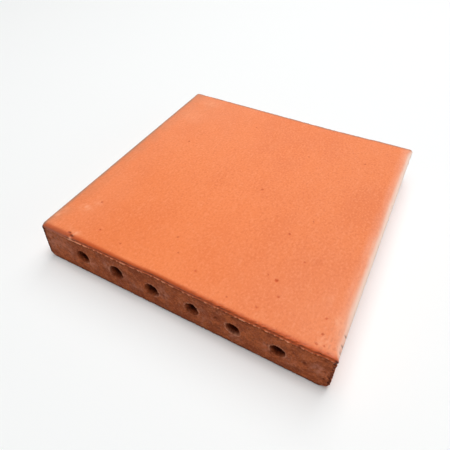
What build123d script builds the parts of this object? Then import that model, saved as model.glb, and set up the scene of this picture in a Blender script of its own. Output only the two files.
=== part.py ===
from build123d import *
import os

# A square terracotta floor tile: one piece of extruded, wire-cut and fired clay.
# The clay leaves the die along Y, with a row of round cores running right through it.
# The die rounds the long edges beside the wearing face and, more fully, those beside the bed.
# A wire then cuts both ends and drags the clay over, which rounds the top edge of each end.
# Origin: centre of the bed. X runs across the cores, Y along them, Z is up. Millimetres.

# Overall size
tile_width = 200.0
tile_length = 200.0
tile_thickness = 31.0

# Edges
face_edge_radius = 4.5
bed_edge_radius = 5.0
cut_edge_radius = 2.2

# Cores
core_diameter = 9.0
core_count = 6
core_pitch = 27.5
core_height = 14.8


def die_section():
    """The section that the die gives the clay, drawn in the XZ plane with its bed on the X axis."""
    with BuildSketch(Plane.XZ) as section:
        Rectangle(tile_width, tile_thickness, align=(Align.CENTER, Align.MIN))
        corners = section.vertices().group_by(Axis.Z)
        fillet(corners[0], bed_edge_radius)
        fillet(corners[-1], face_edge_radius)
    return section.sketch


def wire_cut_outline():
    """The outline seen from the side, which the two wire cuts give, drawn in the YZ plane."""
    with BuildSketch(Plane.YZ) as outline:
        Rectangle(tile_length, tile_thickness, align=(Align.CENTER, Align.MIN))
        fillet(outline.vertices().group_by(Axis.Z)[-1], cut_edge_radius)
    return outline.sketch


def cores():
    """The round cores, a level row centred on the tile and running from end to end."""
    front_cut = Plane.XZ.offset(tile_length / 2)
    with BuildPart() as rods:
        with BuildSketch(front_cut):
            with Locations((0, core_height)):
                with GridLocations(core_pitch, 0, core_count, 1):
                    Circle(core_diameter / 2)
        extrude(amount=-tile_length)
    return rods.part


def floor_tile():
    """The clay column between the two cuts, less its cores."""
    column = extrude(die_section(), amount=tile_length / 2, both=True)
    between_cuts = extrude(wire_cut_outline(), amount=tile_width / 2, both=True)
    return (column & between_cuts) - cores()


os.makedirs("parts", exist_ok=True)
export_step(floor_tile(), "parts/floor_tile.step")
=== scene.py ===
import math

import bmesh
import bpy
import numpy as np
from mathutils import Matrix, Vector, noise


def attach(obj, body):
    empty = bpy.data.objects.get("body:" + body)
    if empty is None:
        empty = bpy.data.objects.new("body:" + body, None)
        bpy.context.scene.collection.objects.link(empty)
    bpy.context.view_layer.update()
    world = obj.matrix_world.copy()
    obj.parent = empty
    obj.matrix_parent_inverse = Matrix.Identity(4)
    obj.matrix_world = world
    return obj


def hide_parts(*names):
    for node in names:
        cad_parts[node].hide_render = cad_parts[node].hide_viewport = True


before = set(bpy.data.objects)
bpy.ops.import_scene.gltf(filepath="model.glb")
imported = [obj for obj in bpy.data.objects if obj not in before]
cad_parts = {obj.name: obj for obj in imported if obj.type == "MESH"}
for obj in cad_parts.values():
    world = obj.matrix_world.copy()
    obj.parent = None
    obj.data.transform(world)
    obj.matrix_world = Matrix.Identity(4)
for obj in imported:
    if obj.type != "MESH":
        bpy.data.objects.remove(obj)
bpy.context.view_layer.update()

# The tile, in millimetres. X runs across the cores, Y along them, and the bed is at Z = 0.
MM = 0.001
HALF_WIDTH = 100.0
HALF_LENGTH = 100.0
THICKNESS = 31.0
CORE_COUNT = 6
CORE_PITCH = 27.5
CORE_RADIUS = 4.5
CORE_HEIGHT = 14.8
CORE_PLACES = [CORE_PITCH * (number - (CORE_COUNT - 1) / 2) for number in range(CORE_COUNT)]

# Each core is cut from a square patch of the two ends, with a square opening in the middle.
PATCH_HALF = 6.0
OPENING_HALF = 3.0
PATCH_LINES = 5
OPENING_LINES = 3
CELL = 3.1
# Lines round each bore, by how far they lie from its middle. They crowd towards the mouths.
HALF_BORE_LINES = [0.0, 30.0, 60.0, 80.0, 90.0, 95.0, 98.0, 100.0]

# Edge lengths of the finished mesh, from the plain areas to the finest relief.
BED_EDGE = 3.2
SKIN_EDGE = 1.6
CUT_EDGE = 0.8
BROKEN_EDGE = 0.6
FINE_EDGE = 0.4
# Where it is finer: heights over the bed, lengths from an end and depths under the outline.
SKIN_EDGE_ABOVE = 14.0
SKIN_EDGE_LENGTH = 8.0
DRAG_LENGTH = 4.4
DRAG_DEPTH = 4.6
DRAG_ABOVE = 5.0
BED_ARRIS_BAND = 1.6
MOUTH_HALF = 4.6
BORE_CUT_LENGTH = 4.0
BORE_FINE_LENGTH = 1.0
BROKEN_FROM = (80.0, -76.0, 20.0)
PIT_MARGIN = 0.3
# The drag's edges that run square to the arris are split once more, but for those at the sides.
SPLIT_LENGTH = 4.2
SPLIT_DEPTH = 5.0
SPLIT_SIDE_MARGIN = 0.3
SQUARE_TO = 0.05
# An edge is split when it is longer than wanted by this factor. Along a bore it may be longer.
LONGER = 1.4
BORE_SHARE = 0.15
ROUNDS_OF_SPLITS = 5
TOUCHING = 0.001
TINY = 1e-6

# Corner radii of the section, across and up. The bed's right corner has slumped on its support.
FACE_LEFT_CORNER = (2.8, 2.8)
FACE_RIGHT_CORNER = (7.5, 4.5)
BED_LEFT_CORNER = (4.4, 4.4)
BED_RIGHT_CORNER = (8.0, 6.5)
# The face's corners close in towards the two ends, where the wire enters and leaves.
FRONT_LEFT_CORNER = (2.4, 3.2)
FRONT_RIGHT_CORNER = (1.4, 1.2)
BACK_RIGHT_CORNER = (2.4, 2.2)
CLOSING_LENGTH = 9.0
# The sides of the section's outline, and how deep under it the clay still moves with it.
SIDE, BED, FACE = range(3)
MOVING_DEPTH = 6.0

# The round of each wire-cut end: how far along the skin and how deep down the cut it reaches.
DRAG_ROUND_ALONG = 2.6
DRAG_ROUND_TIGHTER = 0.6
DRAG_ROUND_ABOVE = 0.5
DRAG_ROUND_LEAST = 0.6
DRAG_ROUND_MOST = 2.2
FLATTENED = 0.2
PLAIN_CUT_ROUND = 0.35
BED_ARRIS_ROUND = 1.0
# Heights on the outline between which the skin begins to be dragged.
DRAG_BEGINS = 26.5
DRAG_FULL = 30.2
# How far down the wire dragged the skin over the front cut: place across, depth below the face.
DRAGGED_TO = [
    (-100.0, 3.6), (-86.0, 3.9), (-78.0, 3.7), (-65.0, 2.95), (-53.0, 2.75), (-38.0, 2.8),
    (-24.0, 2.6), (-8.0, 2.65), (0.0, 3.1), (9.0, 3.0), (25.0, 2.4), (41.0, 2.25), (58.0, 1.8),
    (75.0, 2.2), (86.0, 2.0), (100.0, 1.6),
]
BACK_DRAGGED_TO = 2.4
# How uneven that is: the size of the unevenness along the arris, its amount and its seed.
DRAG_UNEVEN = [(1.6, 0.13, 4.1), (4.0, 0.12, 5.3)]
# The torn ridge at the drag's edge, the crease above it and the lesser crease below it.
RIDGE_WIDTH = 0.34
RIDGE_HEIGHT = 0.50
CREASE_ABOVE = 1.12
CREASE_WIDTH = 0.44
CREASE_DEPTH = 0.26
LOWER_CREASE_BELOW = 0.95
LOWER_CREASE_WIDTH = 0.45
LOWER_CREASE_DEPTH = 0.20
SCALE_HEIGHT = 0.26
# Stretches across over which a thing comes in along the front, from nothing to full.
TIGHTER_ROUND_FROM = (-60.0, -30.0)
SOFT_CUT_FROM = (-77.0, -84.0)
RIDGE_FROM = (-83.0, -77.0)
LESS_TORN_FROM = (-10.0, 60.0)
SCALES_FROM = (-10.0, 40.0)
LONG_ROLL_FROM = (75.0, 50.0)
DUSTY_ARRIS_FROM = (-64.0, -78.0)
# How far the wire set back the front's upper arris: place across, distance back.
ARRIS_SET_BACK = [
    (-100.0, 0.6), (-60.0, 0.6), (-50.0, 0.7), (-25.0, 0.7), (-14.0, 1.2), (-5.0, 1.2), (4.0, 0.9),
    (18.0, 0.4), (35.0, 0.25), (50.0, 0.0), (88.0, 0.0), (95.0, 0.5), (98.0, 0.3), (100.0, 0.0),
]
# How the wire bowed the back cut: place across, how far outward.
BACK_BOW = [
    (-100.0, 0.0), (-50.0, -0.3), (0.0, -0.8), (30.0, -0.9), (52.0, -0.2), (70.0, 0.6),
    (100.0, 1.3),
]
# How far the middle rises after firing, on the bed and on the face.
HUMP_BELOW = 0.12
HUMP_ABOVE = 0.05

# How each core's mouth really lies: shift across, height, radius.
CORE_MOUTHS = [
    (1.2, 15.4, 5.1), (1.1, 15.9, 5.2), (0.1, 14.7, 4.9),
    (1.5, 15.3, 4.8), (0.8, 15.4, 4.4), (0.6, 15.0, 4.6),
]
# How far the ends move with the mouths: where that fades, and where it is looked at.
MOUTH_MOVES_TO = 4.5
MOUTH_FADES_TO = 11.0
MOUTH_REGION = 14.0
# Chips at each mouth: angle in degrees, half-spread in degrees, size outward.
MOUTH_CHIPS = [
    [(-20.0, 20.0, 0.5)],
    [(-30.0, 18.0, 0.4)],
    [(-15.0, 24.0, 1.0), (200.0, 40.0, 0.9)],
    [(200.0, 20.0, 0.5)],
    [(-35.0, 26.0, 1.0), (150.0, 20.0, 0.5)],
    [(-40.0, 20.0, 0.5)],
]
# Raised lips at each mouth, pale partly from a painted highlight: angle in degrees, half-spread in
# degrees, height.
MOUTH_LIPS = [
    [(-30.0, 60.0, 0.25)],
    [(150.0, 50.0, 0.5), (10.0, 50.0, 0.35)],
    [(90.0, 50.0, 0.3), (-20.0, 50.0, 0.5)],
    [(140.0, 50.0, 0.45), (30.0, 50.0, 0.45)],
    [(-70.0, 70.0, 0.6), (170.0, 40.0, 0.45)],
    [(165.0, 50.0, 0.6), (70.0, 50.0, 0.45), (-20.0, 40.0, 0.35)],
]
# Painted shade in each bore: the wall stays bright deepest at this angle, in degrees, and is
# painted dark behind that.
BRIGHT_ANGLE = -110.0
BRIGHT_SPREAD = 60.0
BRIGHT_LEAST = 0.3
BRIGHT_MORE = 2.4
DARK_BEHIND = 2.6

# The chip in the front arris: places across of its hole and its raised fleck.
CHIP_HOLE = -74.6
CHIP_FLECK = -75.0
# Where the burr line is lumpiest, by its place across.
BURR_LUMP = -67.0
# Nicks in the front's right vertical arris: height, depth, half-length.
ARRIS_NICKS = [
    (27.4, 0.9, 1.1), (22.0, 0.8, 0.9), (17.5, 0.4, 0.8), (12.4, 0.8, 0.9), (8.0, 0.6, 0.8),
]
# The burrs at the front's two upper corners, by their heights.
RIGHT_BURR_HEIGHT = 29.9
LEFT_BURR_HEIGHT = 27.1
# Nicks in the face's right long edge, darkened with painted shade, by their place along.
EDGE_NICKS = [-83.1, -89.2, -93.5]
EDGE_NICK_HEIGHT = 28.0
EDGE_NICK_DEPTH = 0.5

# Pits in the front cut: place across, height, radius, depth.
CUT_PITS = [
    (31.2, 17.9, 0.9, 0.8), (41.9, 26.0, 0.8, 0.7), (84.8, 15.6, 0.9, 0.8), (54.6, 13.5, 0.6, 0.5),
    (33.6, 9.3, 0.6, 0.4), (78.0, 20.0, 0.6, 0.5), (96.0, 9.0, 0.7, 0.6),
]
# Pits in the wearing face: place across and along, radius, depth.
FACE_PITS = [
    (-63.5, 25.8, 0.9, 0.5), (-77.7, -64.8, 1.0, 0.5), (-61.5, -85.8, 0.9, 0.6),
    (-13.9, -67.5, 0.8, 0.4), (-6.6, -78.2, 0.7, 0.3), (9.7, -85.1, 0.9, 0.4),
    (14.2, -0.5, 1.1, 0.5), (47.3, -31.7, 1.0, 0.7), (54.3, -68.9, 1.3, 1.0),
    (59.7, -78.7, 0.9, 0.5), (63.8, -48.8, 0.8, 0.6), (34.3, -92.4, 0.7, 0.4),
    (51.8, -90.7, 0.8, 0.4), (87.4, -79.2, 0.8, 0.4), (57.0, -13.8, 0.7, 0.3),
    (-42.5, -89.2, 0.6, 0.3), (88.5, -88.9, 0.9, 0.5), (87.4, -95.6, 0.9, 0.5),
    (91.3, -95.0, 0.8, 0.5), (48.6, -67.5, 0.6, 0.3), (30.0, 52.0, 0.8, 0.4),
    (-24.0, 71.0, 0.7, 0.3), (71.0, 63.0, 0.8, 0.4),
]

# Soft oval spots of colour, each told by its place, its two half-sizes and its strength.
# Pale pinkish smears on the front cut, placed by across and height.
SMEARS = [
    (-60.0, 12.5, 3.5, 4.5, 0.8), (-78.0, 13.5, 3.0, 6.0, 0.5), (-86.0, 19.0, 9.0, 7.0, 0.5),
    (-95.0, 16.0, 6.0, 9.0, 0.6), (-46.5, 18.5, 3.5, 4.0, 1.0), (-34.0, 16.0, 3.0, 4.0, 0.5),
    (-27.5, 10.0, 3.5, 4.5, 0.6), (-20.5, 10.5, 2.5, 3.0, 0.5), (-4.5, 17.0, 4.0, 6.0, 0.8),
    (22.0, 19.0, 3.0, 2.0, 0.6), (22.5, 10.5, 3.0, 2.5, 0.7), (43.0, 7.5, 5.0, 2.0, 0.9),
    (62.5, 13.5, 1.8, 4.5, 0.7), (76.5, 10.0, 4.0, 3.5, 0.6), (92.0, 16.0, 4.0, 4.5, 0.9),
]
# The lists below are on the wearing face, placed by across and along. First its pale scuffs.
FACE_SCUFFS = [
    (-83.4, -74.0, 4.5, 2.6, 0.55), (-79.6, -66.3, 3.5, 2.0, 0.40), (-95.5, -86.0, 2.5, 5.5, 0.55),
    (-73.7, -95.1, 3.5, 1.5, 0.40), (93.6, -78.5, 3.0, 4.5, 0.45), (90.2, -92.7, 3.5, 3.0, 0.45),
    (85.2, -67.6, 2.0, 4.0, 0.20), (-78.6, 87.2, 9.0, 5.0, 0.30), (-82.9, 59.1, 8.0, 12.0, 0.20),
]
# Brown smudges.
FACE_SMUDGES = [
    (71.1, -45.0, 2.6, 3.6, 0.30), (66.6, 26.5, 2.0, 3.0, 0.18), (44.0, 8.0, 12.0, 16.0, 0.07),
]
# What fired a warmer orange: the wide patch over the middle of the front, and small patches.
WIDE_BLUSH = [(-25.0, -70.0, 80.0, 50.0, 1.0)]
FACE_BLUSHES = [
    (-60.8, -25.4, 9.0, 12.0, 0.6), (-11.3, -85.0, 26.0, 9.0, 0.7), (18.5, -80.1, 9.0, 7.0, 0.7),
    (-45.7, -94.5, 12.0, 4.0, 0.6), (14.0, -22.8, 6.0, 8.0, 0.5),
]
# Pale dust, with a painted sheen in it, strongest at the back left.
FACE_DUST_AND_SHEEN = [
    (-90.0, 90.0, 75.0, 75.0, 1.0), (-76.0, -60.0, 14.0, 45.0, 0.9), (88.0, -75.0, 34.0, 34.0, 0.9),
]
# The dull corner at the back left.
DULL_CORNER = [(-92.0, 92.0, 26.0, 26.0, 0.10)]
# The painted highlight on the glossy right long edge begins over these: across, degrees turned
# over, height, along.
HIGHLIGHT_ACROSS = (90.5, 97.5)
HIGHLIGHT_TURNED = (24.0, 58.0)
HIGHLIGHT_HEIGHTS = (12.0, 24.0)
HIGHLIGHT_ALONG = (-98.0, -60.0)
# The painted shade on the left long edge and the back arris, by how far out it begins and its
# heights.
SHADED_LEFT = (95.0, 98.8)
SHADED_LEFT_HEIGHTS = (23.0, 29.0)
SHADED_BACK = (95.6, 98.8)
SHADED_BACK_HEIGHTS = (25.0, 29.5)
# The broken skin at the front right, by across and along, and the right of the face, darkened with
# painted shade.
BROKEN_ACROSS = (78.0, 92.0)
BROKEN_ALONG = (-76.0, -90.0)
DARKER_ACROSS = (0.0, 85.0)
# The dull margin and the wider dust at the face's left edge.
MARGIN_ACROSS = (-84.0, -95.0)
DUST_ACROSS = (-70.0, -96.0)

# What the finish needs to know of each place: each mask goes from 0 to 1.
MASKS = ("cut", "scuff_and_painted_highlight", "painted_shade", "smear_and_painted_highlight", "rubbed", "rolled", "dulled", "veiled", "ruddy")


def smooth(low, high, value):
    """0 at low and beyond it, 1 at high and beyond it, smooth between. Low may be the larger."""
    t = np.clip((value - low) / (high - low), 0.0, 1.0)
    return t * t * (3.0 - 2.0 * t)


def bell(distance, width):
    """1 at no distance, falling off over the width."""
    return np.exp(-(distance / width) ** 2)


def blend(first, second, share):
    """The first value at a share of 0, the second at a share of 1."""
    return first + share * (second - first)


def spots(x, y, table):
    """The sum of soft oval spots, told by place, two half-sizes and strength."""
    total = np.zeros(x.shape)
    for at_x, at_y, half_x, half_y, strength in table:
        total += strength * bell(np.hypot((x - at_x) / half_x, (y - at_y) / half_y), 1.0)
    return total


def fractal(points, size, octaves, seed):
    """Fractal noise, about -1 to 1, with features of the given size or three sizes in mm."""
    start = np.array([seed, 1.7 * seed, -2.3 * seed])
    scaled = points / np.asarray(size, dtype=float) + start
    return np.array([noise.fractal(Vector(p), 1.0, 2.0, octaves) for p in scaled])


def angle_off(angle, at):
    """How far angles lie from a given one, in degrees from -180 to 180."""
    return (angle - at + 180.0) % 360.0 - 180.0


def along(x, table):
    """Values along the width, from a table of places across and values."""
    places, values = np.array(table).T
    return np.interp(x, places, values)


def lines(low, high):
    """Evenly spaced lines about one cell apart."""
    return np.linspace(low, high, max(1, round((high - low) / CELL)) + 1)


def grid_lines(low, high, middles):
    """Lines from low to high that fit the patches round the given middles."""
    spans = []
    for middle in middles:
        spans.append(lines(low, middle - PATCH_HALF))
        spans.append(np.linspace(middle - PATCH_HALF, middle + PATCH_HALF, PATCH_LINES))
        low = middle + PATCH_HALF
    spans.append(lines(low, high))
    return np.unique(np.round(np.concatenate(spans), 5))


def beside_openings(x, z):
    """Whether a place on an end lies outside all the square openings."""
    level = abs(z - CORE_HEIGHT) < OPENING_HALF
    return not (level and any(abs(x - place) < OPENING_HALF for place in CORE_PLACES))


def plain_block():
    """A square-edged block of clay with square openings through it, in coarse cells."""
    block = bmesh.new()
    made = {}

    def vert(*place):
        key = tuple(round(float(v), 4) for v in place)
        if key not in made:
            made[key] = block.verts.new(key)
        return made[key]

    def cells(first, second, place, keep=lambda a, b: True):
        for a0, a1 in zip(first[:-1], first[1:]):
            for b0, b1 in zip(second[:-1], second[1:]):
                if keep((a0 + a1) / 2, (b0 + b1) / 2):
                    corners = ((a0, b0), (a1, b0), (a1, b1), (a0, b1))
                    block.faces.new([place(a, b) for a, b in corners])

    across = grid_lines(-HALF_WIDTH, HALF_WIDTH, CORE_PLACES)
    up = grid_lines(0.0, THICKNESS, [CORE_HEIGHT])
    lengthwise = lines(-HALF_LENGTH, HALF_LENGTH)
    for z in (0.0, THICKNESS):
        cells(across, lengthwise, lambda x, y: vert(x, y, z))
    for x in (-HALF_WIDTH, HALF_WIDTH):
        cells(lengthwise, up, lambda y, z: vert(x, y, z))
    for y in (-HALF_LENGTH, HALF_LENGTH):
        cells(across, up, lambda x, z: vert(x, y, z), beside_openings)
    half_bore = np.array(HALF_BORE_LINES)
    bore = np.concatenate([-half_bore[:0:-1], half_bore])
    side = np.linspace(-OPENING_HALF, OPENING_HALF, OPENING_LINES)
    for place in CORE_PLACES:
        for edge in (-OPENING_HALF, OPENING_HALF):
            cells(bore, side, lambda y, s: vert(place + edge, y, CORE_HEIGHT + s))
            cells(bore, side, lambda y, s: vert(place + s, y, CORE_HEIGHT + edge))
    bmesh.ops.recalc_face_normals(block, faces=block.faces)
    return block


def shell_distances(x, z):
    """How far each place on the plain block lies from its long side, its bed and its face."""
    return np.stack([HALF_WIDTH - np.abs(x), z, THICKNESS - z])


def wanted_edge(x, y, z):
    """How long an edge may be at a place on the plain block."""
    depth_in = shell_distances(x, z).min(axis=0)
    from_end = HALF_LENGTH - np.abs(y)
    on_end = from_end < TOUCHING
    on_shell = depth_in < TOUCHING
    in_bore = ~on_end & ~on_shell
    front = y < 0.0
    want = np.full(x.shape, BED_EDGE)
    want[on_shell & (z > SKIN_EDGE_ABOVE)] = SKIN_EDGE
    want[on_shell & (from_end < SKIN_EDGE_LENGTH)] = SKIN_EDGE
    want[on_shell & (from_end < DRAG_LENGTH)] = CUT_EDGE
    want[on_end] = CUT_EDGE
    dragged = (on_shell & (from_end < DRAG_LENGTH)) | (on_end & (depth_in < DRAG_DEPTH))
    want[front & dragged & (z > DRAG_ABOVE)] = FINE_EDGE
    bed_arris = ~in_bore & (from_end < BED_ARRIS_BAND) & (z < BED_ARRIS_BAND)
    want[front & bed_arris] = FINE_EDGE
    for place in CORE_PLACES:
        off = np.maximum(np.abs(x - place), np.abs(z - CORE_HEIGHT))
        want[front & on_end & (off < MOUTH_HALF)] = FINE_EDGE
    want[in_bore] = SKIN_EDGE
    want[in_bore & (from_end < BORE_CUT_LENGTH)] = CUT_EDGE
    want[in_bore & (from_end < BORE_FINE_LENGTH) & front] = FINE_EDGE
    broken_x, broken_y, broken_z = BROKEN_FROM
    want[on_shell & (x > broken_x) & (y < broken_y) & (z > broken_z)] = BROKEN_EDGE
    for pit_x, pit_y, radius, _ in FACE_PITS:
        near = np.hypot(x - pit_x, y - pit_y) < 1.5 * radius + PIT_MARGIN
        want[near & (z > THICKNESS - TOUCHING)] = FINE_EDGE
    return want


def edge_spans(block):
    """The block's edges, the middle of each, and how far each reaches along the three axes."""
    edges = list(block.edges)
    ends = np.array([[*edge.verts[0].co, *edge.verts[1].co] for edge in edges])
    return edges, (ends[:, :3] + ends[:, 3:]) / 2, ends[:, 3:] - ends[:, :3]


def split(block, edges, chosen):
    """Splits the chosen edges in two."""
    halved = [edge for edge, cut in zip(edges, chosen) if cut]
    bmesh.ops.subdivide_edges(block, edges=halved, cuts=1, use_grid_fill=True)


def refine(block):
    """Splits edges by rounds where they are longer than wanted, then once more along the drag."""
    for _ in range(ROUNDS_OF_SPLITS):
        edges, middle, span = edge_spans(block)
        inside = shell_distances(middle[:, 0], middle[:, 2]).min(axis=0) > TOUCHING
        in_bore = inside & (np.abs(middle[:, 1]) < HALF_LENGTH - TOUCHING)
        span[in_bore, 1] *= BORE_SHARE
        too_long = np.linalg.norm(span, axis=1) > LONGER * wanted_edge(*middle.T)
        if not too_long.any():
            break
        split(block, edges, too_long)
    edges, middle, span = edge_spans(block)
    x, y, z = middle.T
    drag = (y < SPLIT_LENGTH - HALF_LENGTH) & (z > THICKNESS - SPLIT_DEPTH)
    drag &= (np.abs(span[:, 0]) < SQUARE_TO) & (np.abs(x) < HALF_WIDTH - SPLIT_SIDE_MARGIN)
    drag &= (np.abs(y) > HALF_LENGTH - TOUCHING) | (z > THICKNESS - TOUCHING)
    split(block, edges, drag)
    crowded = [face for face in block.faces if len(face.verts) > 4]
    bmesh.ops.triangulate(block, faces=crowded)


def corner_radii(x, y, z):
    """The radii, across and up, of the section corner nearest to each place."""
    upper = z > THICKNESS / 2
    left = x < 0.0
    corners = [FACE_LEFT_CORNER, FACE_RIGHT_CORNER, BED_LEFT_CORNER, BED_RIGHT_CORNER]
    plain = np.array(corners)[np.where(upper, 0, 2) + np.where(left, 0, 1)]
    front_corner = np.where(left[:, None], FRONT_LEFT_CORNER, FRONT_RIGHT_CORNER)
    back_corner = np.where(left[:, None], FACE_LEFT_CORNER, BACK_RIGHT_CORNER)
    closed = np.where(y[:, None] < 0.0, front_corner, back_corner)
    closing = smooth(CLOSING_LENGTH, 0.0, HALF_LENGTH - np.abs(y)) * upper
    return blend(plain, closed, closing[:, None]).T


class Clay:
    """The plain block's places on their way to the tile's own shape, and the finish's masks."""

    def __init__(self, rest):
        self.rest = rest
        self.x, self.y, self.z = rest.T.copy()
        distances = shell_distances(self.x, self.z)
        self.nearest = distances.argmin(axis=0)
        self.depth_in = distances.min(axis=0)
        self.from_end = HALF_LENGTH - np.abs(self.y)
        self.on_end = self.from_end < TOUCHING
        self.on_shell = self.depth_in < TOUCHING
        self.in_bore = ~self.on_end & ~self.on_shell
        self.on_face = self.on_shell & (self.z > THICKNESS - TOUCHING)
        self.front = self.y < 0.0
        self.on_front = self.on_end & self.front
        self.upper = self.z > THICKNESS / 2
        self.on_upper_shell = self.on_shell & self.upper
        self.outward = np.where(self.front, -1.0, 1.0)
        # Painted shade.
        self.painted_shade = np.zeros(self.x.shape)
        # Pale scuffs and pinkish smears, partly painted highlight.
        self.scuff_and_painted_highlight = np.zeros(self.x.shape)
        self.smear_and_painted_highlight = np.zeros(self.x.shape)
        self.lift = np.zeros(self.x.shape)


def height_in_corner(clay, up):
    """The height of places that lie a share of their corner's radius away from its centre."""
    rise = clay.radius_z * up
    return np.where(clay.upper, THICKNESS - clay.radius_z + rise, clay.radius_z - rise)


def find_corners(clay):
    """Finds each place in its corner square of the section, and the outline's height there."""
    clay.radius_x, clay.radius_z = corner_radii(clay.x, clay.y, clay.z)
    a = (np.abs(clay.x) - (HALF_WIDTH - clay.radius_x)) / clay.radius_x
    above = clay.z - (THICKNESS - clay.radius_z)
    b = np.where(clay.upper, above, clay.radius_z - clay.z) / clay.radius_z
    clay.across_corner = a
    clay.up_corner = b
    clay.cornered = (a > 0.0) & (b > 0.0)
    clay.turned_over = np.degrees(np.arctan2(np.clip(a, 0.0, 1.0), np.clip(b, 0.0, 1.0)))
    clay.reach = np.where(clay.cornered, np.maximum(a, b), 1.0)
    clay.depth = np.where(clay.cornered, (1.0 - clay.reach) * clay.radius_z, clay.depth_in)
    rounded = height_in_corner(clay, b / np.maximum(np.hypot(a, b), TINY))
    straight = np.choose(clay.nearest, [clay.z, 0.0, THICKNESS])
    clay.outline_z = np.where(clay.cornered, rounded, straight)
    clay.over = smooth(DRAG_BEGINS, DRAG_FULL, clay.outline_z)


def find_drag(clay):
    """Finds how far down the wire dragged the skin, and where each place lies from there."""
    clay.along_edge = np.stack([clay.x, 0 * clay.x, np.where(clay.front, 0.0, 40.0)], 1)
    dragged = np.where(clay.front, along(clay.x, DRAGGED_TO), BACK_DRAGGED_TO)
    for size, amount, seed in DRAG_UNEVEN:
        dragged = dragged + amount * fractal(clay.along_edge, size, 2, seed)
    waves = fractal(clay.along_edge, 9.0, 2, 6.1)
    clay.dragged = dragged + np.where(clay.front, 0.15, 0.5) * waves
    # Back along the skin is negative, and down the cut is positive. Bores count as far down.
    clay.skin_run = np.where(clay.on_shell, -clay.from_end, clay.depth)
    clay.run = np.where(clay.in_bore, THICKNESS, clay.skin_run)
    clay.below = clay.run - clay.dragged


def round_ends(clay):
    """Rounds the arrises of the two wire cuts, most where the wire dragged the skin over."""
    on_shell = clay.on_shell
    deep = np.clip(clay.dragged - DRAG_ROUND_ABOVE, DRAG_ROUND_LEAST, DRAG_ROUND_MOST)
    plain = blend(PLAIN_CUT_ROUND, BED_ARRIS_ROUND, smooth(4.0, 0.5, clay.outline_z))
    tighter = DRAG_ROUND_TIGHTER * clay.front * smooth(*TIGHTER_ROUND_FROM, clay.x)
    round_in = blend(plain, deep, clay.over)
    round_along = blend(plain, DRAG_ROUND_ALONG - tighter, clay.over)
    turn = 1.0 - np.where(on_shell, clay.from_end / round_along, clay.depth / round_in)
    turn = np.where(clay.in_bore, 0.0, np.clip(turn, 0.0, 1.0))
    slant = np.sqrt(1.0 + turn ** 2)
    chord = np.where(on_shell, turn / 2.0, 1.0 - turn / 2.0)
    arc_depth = 1.0 - np.where(on_shell, 1.0, turn) / slant
    arc_along = 1.0 - np.where(on_shell, turn, 1.0) / slant
    flat = FLATTENED * clay.over
    turning = np.where(on_shell, clay.from_end < round_along, clay.depth < round_in)
    turning &= ~clay.in_bore
    turned_depth = round_in * blend(arc_depth, chord, flat)
    turned_along = round_along * blend(arc_along, 1.0 - chord, flat)
    clay.turn = turn
    clay.new_depth = np.where(turning, turned_depth, clay.depth)
    new_along = np.where(turning, turned_along, clay.from_end)
    new_y = np.sign(clay.y) * (HALF_LENGTH - new_along)
    clay.new_y = np.where(clay.in_bore, clay.y, new_y)


def round_section(clay):
    """Insets each place along the outline's own direction, and rounds the section's corners."""
    side = np.sign(clay.x)
    inset = (1.0 - clay.new_depth / clay.radius_z) / np.maximum(clay.reach, TINY)
    inset = np.where(clay.cornered, inset, 1.0)
    a = clay.across_corner * inset
    b = clay.up_corner * inset
    squared = np.maximum(np.abs(a), np.abs(b)) / np.maximum(np.hypot(a, b), TINY)
    corner_x = side * (HALF_WIDTH - clay.radius_x + clay.radius_x * a * squared)
    corner_z = height_in_corner(clay, b * squared)
    side_x = side * (HALF_WIDTH - clay.new_depth)
    flat_x = np.where(clay.nearest == SIDE, side_x, clay.x)
    flat_z = np.where(clay.nearest == FACE, THICKNESS - clay.new_depth, clay.z)
    flat_z = np.where(clay.nearest == BED, clay.new_depth, flat_z)
    moved = ~clay.in_bore & (clay.depth < MOVING_DEPTH)
    clay.new_x = np.where(clay.cornered, corner_x, np.where(moved, flat_x, clay.x))
    clay.new_z = np.where(clay.cornered, corner_z, np.where(moved, flat_z, clay.z))


def mark_cuts(clay):
    """Marks what is torn clay: the ends below the dragged skin, and the bores."""
    soft = 0.22 + 1.3 * clay.front * smooth(*SOFT_CUT_FROM, clay.x)
    dragged_cut = clay.over * smooth(-1.0, 1.0, (clay.below - 0.1) / soft)
    margin = np.where(clay.front & (clay.x > 0.0), 1.1, 0.15)
    plain_cut = (1.0 - clay.over) * smooth(-0.3, 0.3, clay.skin_run + margin)
    clay.cut = np.where(clay.in_bore, 1.0, dragged_cut + plain_cut)


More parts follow.
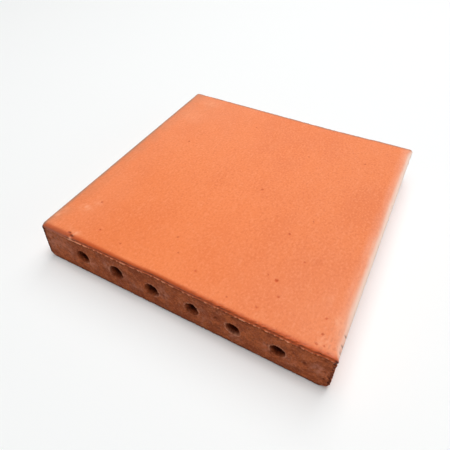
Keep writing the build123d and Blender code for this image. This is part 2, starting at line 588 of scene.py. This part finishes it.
def shape_core(clay, number):
    """Turns one square opening into a round bore with its mouth's real place, width and lips."""
    place = CORE_PLACES[number]
    shift, height, radius = CORE_MOUTHS[number]
    cx = clay.x - place
    cz = clay.z - CORE_HEIGHT
    square = np.maximum(np.abs(cx), np.abs(cz))
    near = (square < MOUTH_REGION) & (clay.on_end | clay.in_bore)

    # Squares become circles towards the opening.
    t = np.clip((PATCH_HALF - square) / (PATCH_HALF - OPENING_HALF), 0.0, 1.0)
    as_square = PATCH_HALF / np.maximum(square, TINY)
    as_circle = CORE_RADIUS / np.maximum(np.hypot(cx, cz), TINY)
    stretch = np.where(square < PATCH_HALF, blend(as_square, as_circle, t), 1.0)
    cx = cx * stretch
    cz = cz * stretch
    radial = np.maximum(np.hypot(cx, cz), TINY)
    angle = np.degrees(np.arctan2(cz, cx))
    from_mouth = radial - CORE_RADIUS

    # The mouth grows unevenly, with its chips, and less so further in.
    inside = np.where(clay.in_bore, clay.from_end, 0.0)
    ring = np.stack([cx / radial * 4.0, cz / radial * 4.0, clay.y * 0.05 + 17.0 * number], 1)
    grow = radius - CORE_RADIUS + 0.05 * np.exp(-inside / 0.3)
    uneven = fractal(ring[near], 2.4, 3, 1.3 + number)
    grow[near] += 0.28 * uneven * (0.4 + 0.6 * np.exp(-inside[near] / 4.0))
    for at, spread, outward in MOUTH_CHIPS[number]:
        bite = outward * bell(angle_off(angle, at), spread) * np.exp(-inside / 1.6)
        grow += np.where(clay.front, bite, 0.4 * bite)
    moving = near * (1.0 - smooth(MOUTH_MOVES_TO, MOUTH_FADES_TO, radial))
    cx = cx + moving * (shift + grow * cx / radial)
    cz = cz + moving * (height - CORE_HEIGHT + grow * cz / radial)
    clay.new_x = np.where(near, place + cx, clay.new_x)
    clay.new_z = np.where(near, CORE_HEIGHT + cz, clay.new_z)

    # Painted shade: the bore is darkened behind its mouth.
    bright = BRIGHT_LEAST + BRIGHT_MORE * bell(angle_off(angle, BRIGHT_ANGLE), BRIGHT_SPREAD)
    bore = clay.in_bore & (square < OPENING_HALF + 0.1)
    clay.painted_shade += bore * smooth(0.0, 1.0, (clay.from_end - bright) / DARK_BEHIND)

    for at, spread, outward in MOUTH_LIPS[number]:
        window = bell(angle_off(angle, at), spread) * near * clay.on_end
        window = window * np.where(clay.front, 1.0, 0.5)
        broken = np.zeros(clay.x.shape)
        broken[near] = fractal(ring[near], 1.1, 3, 5.0 + at)
        lip = outward * window * np.clip(0.8 + 1.2 * broken, 0.0, 1.3)
        clay.lift += lip * bell(from_mouth - 0.35, 0.45)
        # The lip's pale scuff and pinkish smear are partly a painted highlight.
        clay.scuff_and_painted_highlight += 0.9 * lip * bell(from_mouth - 0.25, 0.45)
        clay.smear_and_painted_highlight += 1.9 * lip * bell(from_mouth - 0.35, 0.6)


def crease_drag(clay):
    """The crease over the dragged skin's edge, and the torn ridge that the wire left along it, with
    painted shade in the creases and a painted highlight on the pale ridge.
    """
    x, front, run, below = clay.x, clay.front, clay.run, clay.below
    present = clay.over * np.where(front, smooth(*RIDGE_FROM, x), 1.0)
    torn = 0.72 - 0.25 * smooth(*LESS_TORN_FROM, x) + 0.5 * front * bell(x - BURR_LUMP, 9.0)
    torn = np.clip(torn + 1.5 * fractal(clay.along_edge, 2.2, 4, 8.2), 0.0, 1.25)
    gouged = np.clip(0.90 + 0.7 * fractal(clay.along_edge, 2.6, 3, 3.7), 0.3, 1.3)
    ridge = bell(below, RIDGE_WIDTH) * torn * present
    crease = bell(below + CREASE_ABOVE, CREASE_WIDTH) * gouged * present
    lower = bell(below - LOWER_CREASE_BELOW, LOWER_CREASE_WIDTH) * gouged * present
    scaled = fractal(np.stack([x + 0.8 * run, run, 0 * x], 1), (1.9, 2.6, 1.0), 3, 1.9)
    scaled = scaled * smooth(-3.0, -1.2, run) * smooth(0.4, -0.2, below) * present
    scaled = scaled * np.where(front, smooth(*SCALES_FROM, x), 0.6)

    raised = RIDGE_HEIGHT * ridge - CREASE_DEPTH * crease - LOWER_CREASE_DEPTH * lower
    raised = raised + SCALE_HEIGHT * scaled
    half_turn = 45.0 * clay.turn
    tilt = np.radians(np.where(clay.on_shell, half_turn, 90.0 - half_turn))
    set_back = front * along(x, ARRIS_SET_BACK) * smooth(6.0, 29.0, clay.new_z)
    clay.shaped[:, 1] += clay.outward * np.sin(tilt) * raised
    clay.shaped[:, 1] += set_back * smooth(9.0, 1.0, clay.from_end)
    clay.shaped[:, 2] += np.cos(tilt) * raised

    # The ridge's pale scuff is partly a painted highlight.
    clay.scuff_and_painted_highlight += ridge * smooth(0.30, 0.9, torn)
    # Painted shade in the creases and the hollows between the scales.
    clay.painted_shade += 0.66 * crease + 0.30 * lower + 0.45 * np.clip(-scaled, 0.0, 0.6)
    shorter = 0.7 * front * smooth(*TIGHTER_ROUND_FROM, x) * smooth(*LONG_ROLL_FROM, x)
    clay.rolled = smooth(-3.9, -0.7, run - shorter) * smooth(0.5, -0.3, below) * clay.over


def chip_arris(clay):
    """The chip in the front arris: a hole darkened with painted shade, the fleck pushed out of it
    and a scrape behind.
    """
    run = clay.run
    from_hole = clay.x - CHIP_HOLE
    rim = clay.front & clay.upper & (run > -8.0) & (run < 5.0)
    hole = bell(np.hypot(0.8 * from_hole, 0.9 * (run + 0.3)), 1.15)
    tail = bell(np.hypot(0.7 * (from_hole + 2.6), run + 2.4), 0.8)
    hole = rim * np.maximum(hole, tail)
    fleck = rim * bell(np.hypot(clay.x - CHIP_FLECK, 0.8 * (run - 2.4)), 1.1)
    scrape = rim * bell(from_hole - 1.6 + 0.3 * (run + 4.0), 0.9)
    scrape = scrape * smooth(-0.6, -2.0, run) * smooth(-7.0, -4.5, run)
    clay.shaped[:, 1] += 0.6 * hole - 0.45 * fleck
    clay.shaped[:, 2] += 0.30 * fleck - 0.6 * hole + 0.12 * scrape
    # Painted shade in the chip's hole.
    clay.painted_shade = clay.painted_shade * (1.0 - fleck) + 0.75 * hole
    clay.rolled = clay.rolled * (1.0 - fleck) + 1.2 * hole
    clay.scuff_and_painted_highlight = clay.scuff_and_painted_highlight * (1.0 - hole) + 1.2 * fleck + 0.55 * scrape
    clay.hole = hole


def tear_cuts(clay):
    """The torn face of each cut, with its pocks and pits darkened with painted shade, and pinkish
    smears.
    """
    new_x, new_z = clay.new_x, clay.new_z
    face = np.stack([new_x, new_z, np.where(clay.front, 0.0, 50.0)], 1)
    torn = 0.14 * fractal(face, (7.0, 5.0, 1.0), 3, 2.2)
    torn = torn + 0.13 * fractal(face, (1.6, 2.4, 1.0), 3, 6.4)
    pocks = smooth(0.40, 0.62, fractal(face, (1.3, 1.3, 1.0), 2, 9.9))
    torn_end = clay.on_end * clay.cut
    clay.lift += torn_end * (torn - 0.35 * pocks)
    # Painted shade in the pocks.
    clay.painted_shade += torn_end * 0.30 * pocks
    for pit_x, pit_z, radius, sink in CUT_PITS:
        pit = clay.on_front * bell(np.hypot(new_x - pit_x, new_z - pit_z), radius)
        clay.lift -= sink * pit
        # Painted shade in the pits.
        clay.painted_shade += 0.8 * pit
    patchy = np.clip(0.6 + 1.1 * fractal(face, (2.6, 2.6, 1.0), 4, 12.5), 0.0, 1.4)
    clay.smear_and_painted_highlight += clay.on_front * patchy * spots(new_x, new_z, SMEARS)
    clay.shaped[:, 1] += clay.outward * clay.lift


def pit_face(clay):
    """Pits in the wearing face, each a little ragged, with a low rim and a little painted shade."""
    for pit_x, pit_y, radius, sink in FACE_PITS:
        away = np.hypot(clay.x - pit_x, clay.y - pit_y)
        near = clay.on_face & (away < 3.0 * radius)
        away = away[near]
        ragged = 1.0 + 0.3 * fractal(clay.rest[near], 0.8, 2, pit_x)
        pit = bell(away, 0.80 * radius * ragged) ** 1.5
        rim = bell(away - 1.15 * radius, 0.35 * radius)
        clay.shaped[near, 2] += 0.06 * rim - 0.7 * sink * pit
        # A little painted shade in each pit.
        clay.painted_shade[near] += 0.07 * pit
        clay.rolled[near] += 2.0 * pit


def roughen_face(clay):
    """Faint drag lines from the die, a slightly uneven face, and broken skin at the front right,
    with painted shade in its hollows and a painted highlight on its rises.
    """
    drag_lines = fractal(clay.rest, (3.0, 160.0, 9.0), 3, 5.1)
    uneven = fractal(clay.rest, (38.0, 46.0, 60.0), 2, 3.3)
    broken = fractal(clay.rest, (1.5, 2.2, 2.0), 3, 14.2)
    zone = smooth(*BROKEN_ACROSS, clay.x) * smooth(*BROKEN_ALONG, clay.y)
    zone = zone * clay.on_upper_shell
    clay.shaped[:, 2] += clay.on_face * (0.008 * drag_lines + 0.06 * uneven)
    clay.shaped[:, 2] += 0.09 * zone * broken
    # Painted shade in the broken skin's hollows, a painted highlight on its rises.
    clay.painted_shade += 0.16 * zone * smooth(0.25, 0.60, -broken)
    clay.scuff_and_painted_highlight += 0.25 * zone * smooth(0.25, 0.60, broken)


def warp(clay):
    """The bow of the back cut, and the middle that rises a hair in drying and firing."""
    clay.shaped[:, 1] += along(clay.x, BACK_BOW) * smooth(40.0, 100.0, clay.y)
    hump = 1.0 - (clay.shaped[:, 0] / HALF_WIDTH) ** 2
    rise = clay.shaped[:, 2] / THICKNESS
    clay.shaped[:, 2] += hump * blend(HUMP_BELOW, HUMP_ABOVE, rise)


def tear_arrises(clay):
    """The ragged vertical arrises of the ends: torn burrs, with nicks at the front's right, and
    painted shade along them.
    """
    right = clay.x > 0.0
    from_side = HALF_WIDTH - np.abs(clay.new_x)
    from_cut = HALF_LENGTH - np.abs(clay.new_y)
    near_side = bell(from_side, 1.3) * bell(from_cut, 1.6) * ~clay.in_bore
    ragged = fractal(clay.shaped, (1.6, 3.0, 0.9), 3, 7.7)
    level = clay.shaped[:, 2]
    between = smooth(29.6, 28.6, level) * smooth(0.6, 2.4, level)
    burred = np.where(right, -0.25 + 1.2 * np.clip(ragged, -0.6, 0.8), 0.10 + 0.15 * ragged)
    for height, sink, half in ARRIS_NICKS:
        burred -= (clay.front & right) * sink * bell(clay.new_z - height, half)
    clay.shaped[:, 0] += np.sign(clay.x) * near_side * between * burred
    # Painted shade along the vertical arrises, ragged on the right.
    dark = bell(from_side, np.where(right, 1.4, 1.9)) * clay.on_front
    dark = dark + near_side * clay.front * ~clay.on_end
    dark = dark * np.where(right, np.clip(0.8 - 1.1 * ragged, 0.1, 1.1), 1.0)
    clay.painted_shade += dark * between


def darken_ends(clay):
    """Painted shade darkens the bed's arris at both ends, and the front cut is darker left of the
    middle.
    """
    # Painted shade along the bed's arris of both ends.
    clay.painted_shade += 0.80 * clay.on_end * smooth(2.6, 0.8, clay.shaped[:, 2])
    clay.painted_shade += 0.11 * clay.on_front * bell(clay.x + 15.0, 35.0)


def pull_burrs(clay):
    """The burrs that the wire pulled out of the front's two upper corners, darkened with painted
    shade.
    """
    at_front = bell(clay.new_y + HALF_LENGTH, 1.3) * clay.front * ~clay.in_bore
    right = at_front * bell(HALF_WIDTH - clay.new_x, 1.3)
    right = right * bell(clay.new_z - RIGHT_BURR_HEIGHT, 1.3)
    left = at_front * bell(HALF_WIDTH + clay.new_x, 1.3)
    left = left * bell(clay.new_z - LEFT_BURR_HEIGHT, 1.6)
    clay.shaped[:, 0] += 1.1 * right - 0.2 * left
    clay.shaped[:, 1] -= 0.5 * right
    clay.shaped[:, 2] += 0.5 * right
    # Painted shade on the burrs.
    clay.painted_shade += 0.9 * right + 0.9 * left


def nick_long_edge(clay):
    """Small nicks in the face's right long edge, darkened with painted shade."""
    at_edge = bell(HALF_WIDTH - clay.new_x, 1.2) * bell(clay.new_z - EDGE_NICK_HEIGHT, 2.0)
    for place in EDGE_NICKS:
        nick = bell(clay.new_y - place, 0.5) * at_edge * clay.on_shell
        clay.shaped[:, 0] -= EDGE_NICK_DEPTH * nick
        # Painted shade in each nick.
        clay.painted_shade += 0.9 * nick


def gloss_and_highlight_right_edge(clay, uneven):
    """The right long edge is smoother and glossier, and painted pale as a highlight."""
    turned = smooth(*HIGHLIGHT_TURNED, clay.turned_over + 6.0 * uneven) * (clay.x > 0.0)
    rubbed = 0.22 * smooth(*HIGHLIGHT_ACROSS, clay.x + 1.2 * uneven) + 0.78 * turned
    rubbed = rubbed * smooth(*HIGHLIGHT_HEIGHTS, clay.z + 4.0 * uneven)
    rubbed = rubbed * clay.on_shell * (1.0 - clay.cut)
    clay.rubbed = rubbed * (0.55 + 0.45 * smooth(*HIGHLIGHT_ALONG, clay.y))


def shade_and_dust_edges(clay, uneven):
    """Painted shade darkens the left long edge and the back arris; the face's left margin and the
    front arris's left are dusty.
    """
    level = clay.z + 2.0 * uneven
    at_left = clay.on_shell * smooth(*SHADED_LEFT, -clay.new_x)
    at_left = at_left * smooth(*SHADED_LEFT_HEIGHTS, level)
    at_back = (clay.on_shell | (clay.z > 29.0)) * smooth(*SHADED_BACK, clay.new_y)
    at_back = at_back * smooth(*SHADED_BACK_HEIGHTS, level)
    patchy = np.clip(0.95 + 0.5 * fractal(clay.rest, 5.0, 3, 26.0), 0.4, 1.0)
    # The left and back edges get painted shade.
    edges = np.maximum(at_left, at_back) * patchy
    margin = 0.13 * smooth(*MARGIN_ACROSS, clay.x) + spots(clay.x, clay.y, DULL_CORNER)
    cloudy = np.clip(1.0 + fractal(clay.rest, 9.0, 3, 41.0), 0.4, 1.6)
    rolled = np.clip(clay.rolled - 2.0 * clay.hole, 0.0, 1.0)
    dusty = clay.front * (clay.run > -6.0) * rolled * smooth(*DUSTY_ARRIS_FROM, clay.x)
    dulled = np.maximum(edges, clay.on_face * margin * cloudy)
    clay.dulled = np.maximum(dulled, 0.16 * dusty) * (1.0 - clay.rubbed)


def stain_face(clay):
    """Over the face: dust with painted sheen at the back and the edges, a redder middle front,
    painted shade on the right.
    """
    x, y = clay.x, clay.y
    patches = 1.0 + 0.5 * fractal(clay.rest, (18.0, 24.0, 20.0), 2, 30.0)
    patches = patches * clay.on_upper_shell
    # Dust and a painted sheen, at the back and the edges.
    clay.veiled = (spots(x, y, FACE_DUST_AND_SHEEN) + 0.5 * smooth(*DUST_ACROSS, x)) * patches
    clay.ruddy = spots(x, y, WIDE_BLUSH) * patches + clay.on_face * spots(x, y, FACE_BLUSHES)
    # Painted shade over the right of the face.
    clay.painted_shade += clay.on_face * 0.050 * smooth(*DARKER_ACROSS, x)
    mottled = np.clip(0.7 + 1.2 * fractal(clay.rest, (1.8, 2.6, 2.0), 3, 33.0), 0.0, 1.4)
    clay.scuff_and_painted_highlight += clay.on_face * mottled * spots(x, y, FACE_SCUFFS)
    clay.rolled += clay.on_face * spots(x, y, FACE_SMUDGES)


def shape_clay(rest):
    """Turns places on the plain block into the tile's own shape, and gives the finish's masks."""
    clay = Clay(rest)
    find_corners(clay)
    find_drag(clay)
    round_ends(clay)
    round_section(clay)
    mark_cuts(clay)
    for number in range(CORE_COUNT):
        shape_core(clay, number)
    clay.shaped = np.stack([clay.new_x, clay.new_y, clay.new_z], 1)
    crease_drag(clay)
    chip_arris(clay)
    tear_cuts(clay)
    pit_face(clay)
    roughen_face(clay)
    warp(clay)
    tear_arrises(clay)
    darken_ends(clay)
    pull_burrs(clay)
    nick_long_edge(clay)
    uneven = fractal(rest, (3.0, 14.0, 4.0), 3, 21.0)
    gloss_and_highlight_right_edge(clay, uneven)
    shade_and_dust_edges(clay, uneven)
    stain_face(clay)
    return clay.shaped, {name: np.clip(getattr(clay, name), 0.0, 1.0) for name in MASKS}


def tile_body():
    """The whole tile as one closed piece of clay."""
    block = plain_block()
    refine(block)
    block.verts.ensure_lookup_table()
    rest = np.array([vert.co for vert in block.verts], dtype=float)
    shaped, masks = shape_clay(rest)
    for vert, place in zip(block.verts, shaped * MM):
        vert.co = place
    mesh = bpy.data.meshes.new("tile_body")
    block.to_mesh(mesh)
    block.free()
    for name, values in masks.items():
        layer = mesh.attributes.new(name, "FLOAT", "POINT")
        layer.data.foreach_set("value", values.astype(np.float32))
    mesh.polygons.foreach_set("use_smooth", [True] * len(mesh.polygons))
    body = bpy.data.objects.new("tile_body", mesh)
    bpy.context.scene.collection.objects.link(body)
    return body


class Nodes:
    """A short way to build a material's nodes."""

    def __init__(self, name):
        self.material = bpy.data.materials.new(name)
        self.material.use_nodes = True
        self.tree = self.material.node_tree
        self.tree.nodes.clear()

    def add(self, kind, settings=None, **inputs):
        node = self.tree.nodes.new(kind)
        for key, value in (settings or {}).items():
            setattr(node, key, value)
        for key, value in inputs.items():
            self.put(node, key.replace("_", " "), value)
        return node

    def put(self, node, key, value):
        """Links a socket to an input, or sets the input to a plain value."""
        socket = node.inputs[key]
        if isinstance(value, bpy.types.NodeSocket):
            self.tree.links.new(value, socket)
        else:
            socket.default_value = value

    def math(self, operation, first, second, clamp=False):
        node = self.add("ShaderNodeMath", {"operation": operation, "use_clamp": clamp})
        self.put(node, 0, first)
        self.put(node, 1, second)
        return node.outputs[0]

    def times(self, first, second):
        return self.math("MULTIPLY", first, second)

    def plus(self, first, second):
        return self.math("ADD", first, second)

    def ramp(self, value, low, high, to_low=0.0, to_high=1.0):
        """A smooth step from one value at low to another at high."""
        node = self.add("ShaderNodeMapRange", {"interpolation_type": "SMOOTHSTEP"}, Value=value)
        self.put(node, "From Min", low)
        self.put(node, "From Max", high)
        self.put(node, "To Min", to_low)
        self.put(node, "To Max", to_high)
        return node.outputs[0]

    def mix(self, factor, first, second):
        """Two colours mixed. The colour version of the node has its sockets at these numbers."""
        node = self.add("ShaderNodeMix", {"data_type": "RGBA"})
        self.put(node, 0, factor)
        self.put(node, 6, first)
        self.put(node, 7, second)
        return node.outputs[2]

    def noise(self, sizes, detail, roughness=0.5):
        """Noise on the object, with features of the given sizes in metres."""
        places = self.add("ShaderNodeTexCoord").outputs["Object"]
        scale = tuple(1.0 / size for size in sizes)
        scaled = self.add("ShaderNodeMapping", Vector=places, Scale=scale).outputs[0]
        node = self.add("ShaderNodeTexNoise", Vector=scaled, Scale=1.0)
        self.put(node, "Detail", detail)
        self.put(node, "Roughness", roughness)
        return node.outputs["Fac"]

    def mask(self, name):
        return self.add("ShaderNodeAttribute", {"attribute_name": name}).outputs["Fac"]

    def shader_mix(self, factor, first, second):
        node = self.add("ShaderNodeMixShader", Fac=factor)
        self.put(node, 1, first.outputs[0])
        self.put(node, 2, second.outputs[0])
        return node

    def finish(self, shader):
        """Makes the shader the material's surface."""
        output = self.add("ShaderNodeOutputMaterial")
        self.put(output, "Surface", shader.outputs[0])
        return self.material


# Colours of the die skin, from its deepest red to its pale streaks.
SKIN_DARK = (0.70, 0.150, 0.043, 1.0)
SKIN_MID = (0.85, 0.230, 0.075, 1.0)
SKIN_PALE = (0.92, 0.320, 0.145, 1.0)
# What lies over the skin, and how strongly: dust with a painted sheen, fired redder, a painted
# highlight on the glossy right edge, rolled over by the wire.
SKIN_LAYERS = [
    # Dust with a painted sheen.
    ("veiled", 0.12, (0.86, 0.38, 0.24, 1.0)),
    ("ruddy", 0.27, (0.84, 0.195, 0.042, 1.0)),
    # The painted highlight on the right long edge.
    ("rubbed", 0.90, (0.96, 0.71, 0.58, 1.0)),
    ("rolled", 0.90, (0.62, 0.104, 0.024, 1.0)),
]
# Greyish brown for dust, and for painted shade on the left long edge and the back arris.
DUST_AND_SHADE_COLOUR = (0.31, 0.18, 0.12, 1.0)
# Colours of the torn clay, and of what lies over both: pale scuffs that are partly painted
# highlight, and the near-black of painted shade.
CUT_DARK = (0.39, 0.086, 0.026, 1.0)
CUT_MID = (0.66, 0.166, 0.051, 1.0)
CUT_PINK = (0.74, 0.285, 0.175, 1.0)
SCUFF_AND_HIGHLIGHT_PALE = (0.95, 0.42, 0.24, 1.0)
PAINTED_SHADE_COLOUR = (0.09, 0.012, 0.004, 1.0)


def skin_colour(n, masks, grain):
    """Smooth die skin: wide clouds, streaks along the extrusion, fine grain, and its layers."""
    cloud = n.noise((0.045, 0.060, 0.045), 3.0, 0.55)
    skin = n.mix(n.ramp(cloud, 0.40, 0.68, 0.0, 0.30), SKIN_MID, SKIN_DARK)
    streak = n.noise((0.0022, 0.0100, 0.0040), 3.0, 0.60)
    skin = n.mix(n.ramp(streak, 0.52, 0.74, 0.0, 0.30), skin, SKIN_PALE)
    skin = n.mix(n.ramp(grain, 0.52, 0.66, 0.0, 0.42), skin, SKIN_DARK)
    skin = n.mix(n.ramp(grain, 0.46, 0.34, 0.0, 0.40), skin, SKIN_PALE)
    for name, share, colour in SKIN_LAYERS:
        skin = n.mix(n.times(masks[name], share), skin, colour)
    # Dust, and painted shade on the left long edge and the back arris.
    return n.mix(masks["dulled"], skin, DUST_AND_SHADE_COLOUR)


def torn_colour(n, smear_and_painted_highlight):
    """Torn brown clay: patches, blotches and specks, with a pinkish veil over it."""
    patch = n.noise((0.006, 0.006, 0.005), 4.0, 0.65)
    torn = n.mix(n.ramp(patch, 0.36, 0.64), CUT_DARK, CUT_MID)
    blotch = n.noise((0.0020, 0.0020, 0.0030), 4.0, 0.65)
    torn = n.mix(n.ramp(blotch, 0.48, 0.70, 0.0, 0.75), torn, CUT_DARK)
    speck = n.noise((0.0011, 0.0011, 0.0014), 2.0, 0.6)
    torn = n.mix(n.ramp(speck, 0.52, 0.66, 0.0, 0.56), torn, CUT_DARK)
    torn = n.mix(n.ramp(speck, 0.46, 0.34, 0.0, 0.30), torn, CUT_PINK)
    veil = n.ramp(n.noise((0.0035, 0.0035, 0.0050), 4.0, 0.6), 0.56, 0.76, 0.0, 0.4)
    # The smears carry a painted highlight on the mouths' lips.
    return n.mix(n.math("MAXIMUM", veil, n.times(smear_and_painted_highlight, 0.9)), torn, CUT_PINK)


def clay_relief(n, cut, rubbed, grain):
    """The clay's fine relief in metres: grain and drag lines, coarse where torn, less on the glossy
    right edge.
    """
    fine = n.noise((0.0008, 0.0008, 0.0008), 4.0, 0.6)
    drag = n.noise((0.0016, 0.045, 0.004), 3.0, 0.5)
    coarse = n.noise((0.0018, 0.0018, 0.0018), 5.0, 0.65)
    height = n.plus(n.times(fine, 0.00020), n.times(drag, 0.00001))
    height = n.plus(height, n.times(grain, 0.00018))
    height = n.plus(height, n.times(n.times(coarse, cut), 0.0008))
    strength = n.math("SUBTRACT", 1.0, n.times(rubbed, 0.9))
    return n.add("ShaderNodeBump", Strength=strength, Distance=1.0, Height=height).outputs[0]


def fired_clay():
    """Matt red-orange clay: smooth die skin on the faces, torn brown clay on the cuts."""
    n = Nodes("fired_clay_finish")
    masks = {name: n.mask(name) for name in MASKS}
    cut = masks["cut"]
    rubbed = masks["rubbed"]
    grain = n.noise((0.0014, 0.0018, 0.0014), 2.0, 0.6)

    colour = n.mix(cut, skin_colour(n, masks, grain), torn_colour(n, masks["smear_and_painted_highlight"]))
    # Pale scuffs, partly a painted highlight on ridges, lips and rises.
    colour = n.mix(masks["scuff_and_painted_highlight"], colour, SCUFF_AND_HIGHLIGHT_PALE)
    # Painted shade over bores, creases, pits, nicks, burrs and arrises.
    colour = n.mix(masks["painted_shade"], colour, PAINTED_SHADE_COLOUR)

    # Torn clay is rougher than skin, and the glossy right edge under its painted highlight is
    # smoother.
    rough = n.ramp(n.noise((0.010, 0.020, 0.010), 3.0), 0.3, 0.7, 0.42, 0.50)
    rough = n.math("MAXIMUM", rough, n.times(cut, 0.92))
    rough = n.math("SUBTRACT", rough, n.times(rubbed, 0.16))

    relief = clay_relief(n, cut, rubbed, grain)
    shader = n.add("ShaderNodeBsdfPrincipled", Base_Color=colour, Roughness=rough, Normal=relief)
    shader.inputs["IOR"].default_value = 1.45
    shader.inputs["Specular IOR Level"].default_value = 0.25
    n.put(shader, "Coat Weight", n.times(rubbed, 0.3))
    shader.inputs["Coat Roughness"].default_value = 0.25
    shader.inputs["Coat IOR"].default_value = 1.8
    return n.finish(shader)


# The floor: half-size in metres, colour and glow where it is seen, and what it sends the tile.
FLOOR_HALF = 6.0
FLOOR_LIT = (0.918, 0.932, 0.930, 1.0)
FLOOR_GLOW = (0.97, 0.97, 0.968, 1.0)
FLOOR_GLOW_SHARE = 0.18
FLOOR_SENDS_BACK = (0.80, 0.80, 0.80, 1.0)


def add_floor():
    """A wide pale floor, near white with the tile's soft shadow on it."""
    half = FLOOR_HALF
    corners = [(-half, -half, 0), (half, -half, 0), (half, half, 0), (-half, half, 0)]
    mesh = bpy.data.meshes.new("floor")
    mesh.from_pydata(corners, [], [(0, 1, 2, 3)])
    floor = bpy.data.objects.new("floor", mesh)
    bpy.context.scene.collection.objects.link(floor)
    n = Nodes("pale_floor")
    path = n.add("ShaderNodeLightPath")
    seen = n.plus(path.outputs["Is Camera Ray"], path.outputs["Is Glossy Ray"])
    seen = n.math("ADD", seen, path.outputs["Is Transmission Ray"], clamp=True)
    lit = n.add("ShaderNodeBsdfDiffuse", Color=FLOOR_LIT)
    glow = n.add("ShaderNodeEmission", Color=FLOOR_GLOW, Strength=1.0)
    shown = n.shader_mix(FLOOR_GLOW_SHARE, lit, glow)
    sends_back = n.add("ShaderNodeBsdfDiffuse", Color=FLOOR_SENDS_BACK)
    mesh.materials.append(n.finish(n.shader_mix(seen, sends_back, shown)))


# The soft lamps, in metres and watts: place, aim, the two sizes, power.
LAMPS = {
    "key": ((0.0, 0.92, 2.0), (0.0, 0.92, 0.0), (1.5, 3.4), 46.4),
    "fill": ((0.22, 0.10, 2.0), (0.0, 0.0, 0.0), (0.5, 0.5), 12.2),
    "rim": ((1.2, 0.05, 0.45), (0.1, 0.0, 0.03), (0.9, 0.5), 1.3),
}
# How strongly the white world lights the tile. Where it is seen, it has its full strength.
WORLD_FILL = 0.05


def add_lamp(name, place, aim, size, power):
    """A rectangular soft lamp at a place, aimed at a point."""
    lamp = bpy.data.lights.new(name, "AREA")
    lamp.shape = "RECTANGLE"
    lamp.size, lamp.size_y = size
    lamp.energy = power
    item = bpy.data.objects.new(name, lamp)
    item.location = place
    item.rotation_euler = (Vector(aim) - Vector(place)).to_track_quat("-Z", "Y").to_euler()
    bpy.context.scene.collection.objects.link(item)


def add_world():
    """A white world: bright where it is seen, mirrored or seen through, and dim as a light."""
    world = bpy.data.worlds.new("studio")
    world.use_nodes = True
    tree = world.node_tree
    background = tree.nodes["Background"]
    background.inputs["Color"].default_value = (1.0, 1.0, 1.0, 1.0)
    path = tree.nodes.new("ShaderNodeLightPath")
    seen = path.outputs["Is Camera Ray"]
    for ray in ("Is Glossy Ray", "Is Transmission Ray"):
        either = tree.nodes.new("ShaderNodeMath")
        either.operation = "MAXIMUM"
        tree.links.new(seen, either.inputs[0])
        tree.links.new(path.outputs[ray], either.inputs[1])
        seen = either.outputs[0]
    strength = tree.nodes.new("ShaderNodeMapRange")
    strength.inputs["To Min"].default_value = WORLD_FILL
    strength.inputs["To Max"].default_value = 1.0
    tree.links.new(seen, strength.inputs["Value"])
    tree.links.new(strength.outputs[0], background.inputs["Strength"])
    bpy.context.scene.world = world


# The photograph's viewpoint, fitted to the tile's edges, in pixels, metres and degrees.
PICTURE = 450
FOCAL_PIXELS = 424.62
CENTRE_ROW = 195.0
CAMERA_PLACE = (0.098939, -0.213852, 0.229582)
CAMERA_ANGLES = (48.151, 0.046, 28.296)
# The camera's sensor, in millimetres.
SENSOR_WIDTH = 36.0


def add_camera():
    """The camera at the photograph's viewpoint."""
    camera = bpy.data.cameras.new("camera")
    camera.sensor_width = SENSOR_WIDTH
    camera.lens = FOCAL_PIXELS * SENSOR_WIDTH / PICTURE
    camera.shift_y = (CENTRE_ROW - (PICTURE - 1) / 2) / PICTURE
    item = bpy.data.objects.new("camera", camera)
    item.location = CAMERA_PLACE
    item.rotation_euler = [math.radians(angle) for angle in CAMERA_ANGLES]
    bpy.context.scene.collection.objects.link(item)
    bpy.context.scene.camera = item


add_camera()
add_floor()
for name, lamp in LAMPS.items():
    add_lamp(name, *lamp)
add_world()
bpy.context.scene.view_settings.view_transform = "Standard"

body = tile_body()
body.data.materials.append(fired_clay())
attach(body, "root")
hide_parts("floor_tile")
